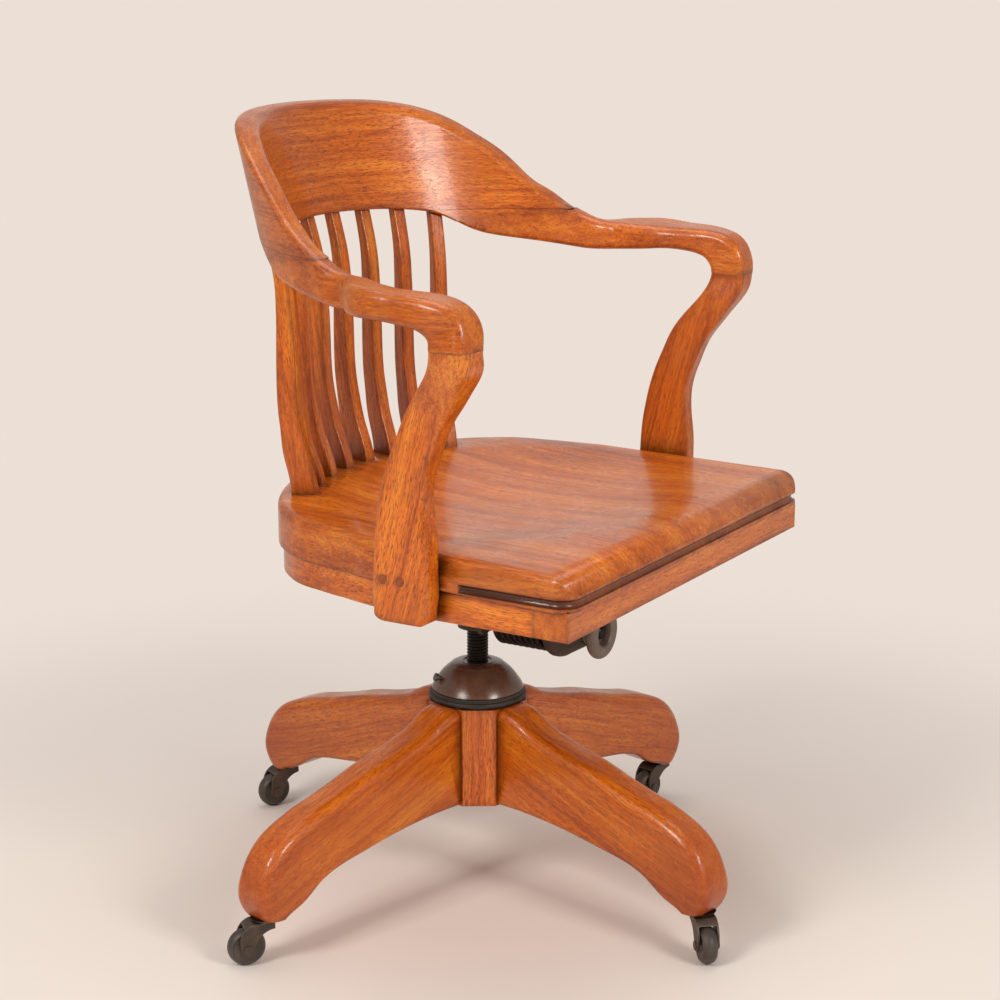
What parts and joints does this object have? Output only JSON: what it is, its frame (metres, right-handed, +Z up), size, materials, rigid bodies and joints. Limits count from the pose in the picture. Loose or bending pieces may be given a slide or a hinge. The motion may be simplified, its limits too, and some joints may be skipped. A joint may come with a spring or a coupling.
{
  "type": "bankers swivel chair",
  "caption": "Oak desk chair with curved crest, slatted back, shaped arms and saddled seat on a sprung tilting screw column with splayed legs and casters.",
  "frame": {"origin": "on the floor under the swivel axis, at the middle of the chair's footprint", "axes": "+Z up, the sitter faces -Y, +X to the sitter's left"},
  "size_m": [0.682, 0.6791, 0.8527],
  "materials": {
    "oak": "satin varnish, quarter grain",
    "oak_plugs": "satin varnish, end grain",
    "collar_rubber": "dull",
    "brown_cast_iron": "brown enamel, satin",
    "blackened_steel": "oiled black",
    "dark_cast_iron": "dark, rough",
    "worn_grey_iron": "worn grey",
    "steel": "plain",
    "caster_iron": "dark, worn"
  },
  "bodies": {
    "base": {"base_hub": "oak", "leg_front_right": "oak", "leg_front_left": "oak", "leg_rear_left": "oak", "leg_rear_right": "oak", "collar_ring": "collar_rubber", "spindle_sleeve": "steel", "caster_socket_front_right": "caster_iron", "caster_socket_front_left": "caster_iron", "caster_socket_rear_left": "caster_iron", "caster_socket_rear_right": "caster_iron"},
    "nut": {"swivel_nut": "brown_cast_iron", "nut_lock_screw": "steel"},
    "column": {"spindle": "blackened_steel", "tilt_head": "dark_cast_iron", "tilt_axle": "dark_cast_iron"},
    "seat": {"seat_board": "oak", "front_rail": "oak", "side_rail_left": "oak", "side_rail_right": "oak", "rear_rail": "oak", "arm_post_left": "oak", "arm_post_right": "oak", "arm_left": "oak", "arm_right": "oak", "crest_rail": "oak", "back_slat_1": "oak", "back_slat_2": "oak", "back_slat_3": "oak", "back_slat_4": "oak", "back_slat_5": "oak", "back_slat_6": "oak", "back_slat_7": "oak", "back_slat_8": "oak", "post_plugs": "oak_plugs", "post_screws": "steel", "seat_iron_left": "dark_cast_iron", "seat_iron_right": "dark_cast_iron", "seat_iron_screws": "steel", "spring_bar": "dark_cast_iron"},
    "rod": {"tension_rod": "blackened_steel", "tilt_spring": "blackened_steel"},
    "cup": {"spring_cup": "dark_cast_iron"},
    "handwheel": {"tension_wheel": "worn_grey_iron"},
    "fork_front_right": {"caster_fork_front_right": "caster_iron", "caster_axle_front_right": "caster_iron"},
    "roller_front_right": {"caster_wheel_front_right": "caster_iron"},
    "fork_front_left": {"caster_fork_front_left": "caster_iron", "caster_axle_front_left": "caster_iron"},
    "roller_front_left": {"caster_wheel_front_left": "caster_iron"},
    "fork_rear_left": {"caster_fork_rear_left": "caster_iron", "caster_axle_rear_left": "caster_iron"},
    "roller_rear_left": {"caster_wheel_rear_left": "caster_iron"},
    "fork_rear_right": {"caster_fork_rear_right": "caster_iron", "caster_axle_rear_right": "caster_iron"},
    "roller_rear_right": {"caster_wheel_rear_right": "caster_iron"}
  },
  "joints": [
    {"name": "swivel", "type": "hinge", "parent": "base", "child": "nut", "pos_m": [0, 0, 0.221], "axis": [0, 0, 1], "continuous": true},
    {"name": "height", "type": "slide", "parent": "nut", "child": "column", "axis": [0, 0, 1], "range_m": [-0.024, 0.06]},
    {"name": "tilt", "type": "hinge", "parent": "column", "child": "seat", "pos_m": [0, 0, 0.35], "axis": [-1, 0, 0], "range_deg": [0, 15], "stiffness_Nm_per_rad": 120, "springref_deg": -9.74, "deforming": ["tilt_spring"]},
    {"name": "rod_swing", "type": "hinge", "parent": "column", "child": "rod", "pos_m": [0, 0, 0.308], "axis": [-1, 0, 0], "range_deg": [0, 13.6]},
    {"name": "cup_travel", "type": "slide", "parent": "rod", "child": "cup", "axis": [0, 1, 0], "range_m": [0, 0.008], "deforming": ["tilt_spring"]},
    {"name": "tension_turn", "type": "hinge", "parent": "cup", "child": "handwheel", "pos_m": [0, -0.15, 0.308], "axis": [0, 1, 0], "range_deg": [0, 1440]},
    {"name": "caster_front_right", "type": "hinge", "parent": "base", "child": "fork_front_right", "pos_m": [-0.06511, -0.31331, 0.06], "axis": [0, 0, 1], "continuous": true},
    {"name": "roll_front_right", "type": "hinge", "parent": "fork_front_right", "child": "roller_front_right", "pos_m": [-0.07978, -0.32615, 0.02], "axis": [0.6587, -0.7524, 0], "continuous": true},
    {"name": "caster_front_left", "type": "hinge", "parent": "base", "child": "fork_front_left", "pos_m": [0.31331, -0.06511, 0.06], "axis": [0, 0, 1], "continuous": true},
    {"name": "roll_front_left", "type": "hinge", "parent": "fork_front_left", "child": "roller_front_left", "pos_m": [0.29431, -0.06072, 0.02], "axis": [-0.225, -0.9744, 0], "continuous": true},
    {"name": "caster_rear_left", "type": "hinge", "parent": "base", "child": "fork_rear_left", "pos_m": [0.06511, 0.31331, 0.06], "axis": [0, 0, 1], "continuous": true},
    {"name": "roll_rear_left", "type": "hinge", "parent": "fork_rear_left", "child": "roller_rear_left", "pos_m": [0.04755, 0.32179, 0.02], "axis": [-0.4352, -0.9003, 0], "continuous": true},
    {"name": "caster_rear_right", "type": "hinge", "parent": "base", "child": "fork_rear_right", "pos_m": [-0.31331, 0.06511, 0.06], "axis": [0, 0, 1], "continuous": true},
    {"name": "roll_rear_right", "type": "hinge", "parent": "fork_rear_right", "child": "roller_rear_right", "pos_m": [-0.32807, 0.07785, 0.02], "axis": [-0.6534, -0.757, 0], "continuous": true}
  ],
  "couplings": [
    {"joint": "rod_swing", "follows": "tilt", "ratio": 0.889},
    {"joint": "cup_travel", "follows": "tension_turn", "m_per_rad": 0.000318}
  ]
}
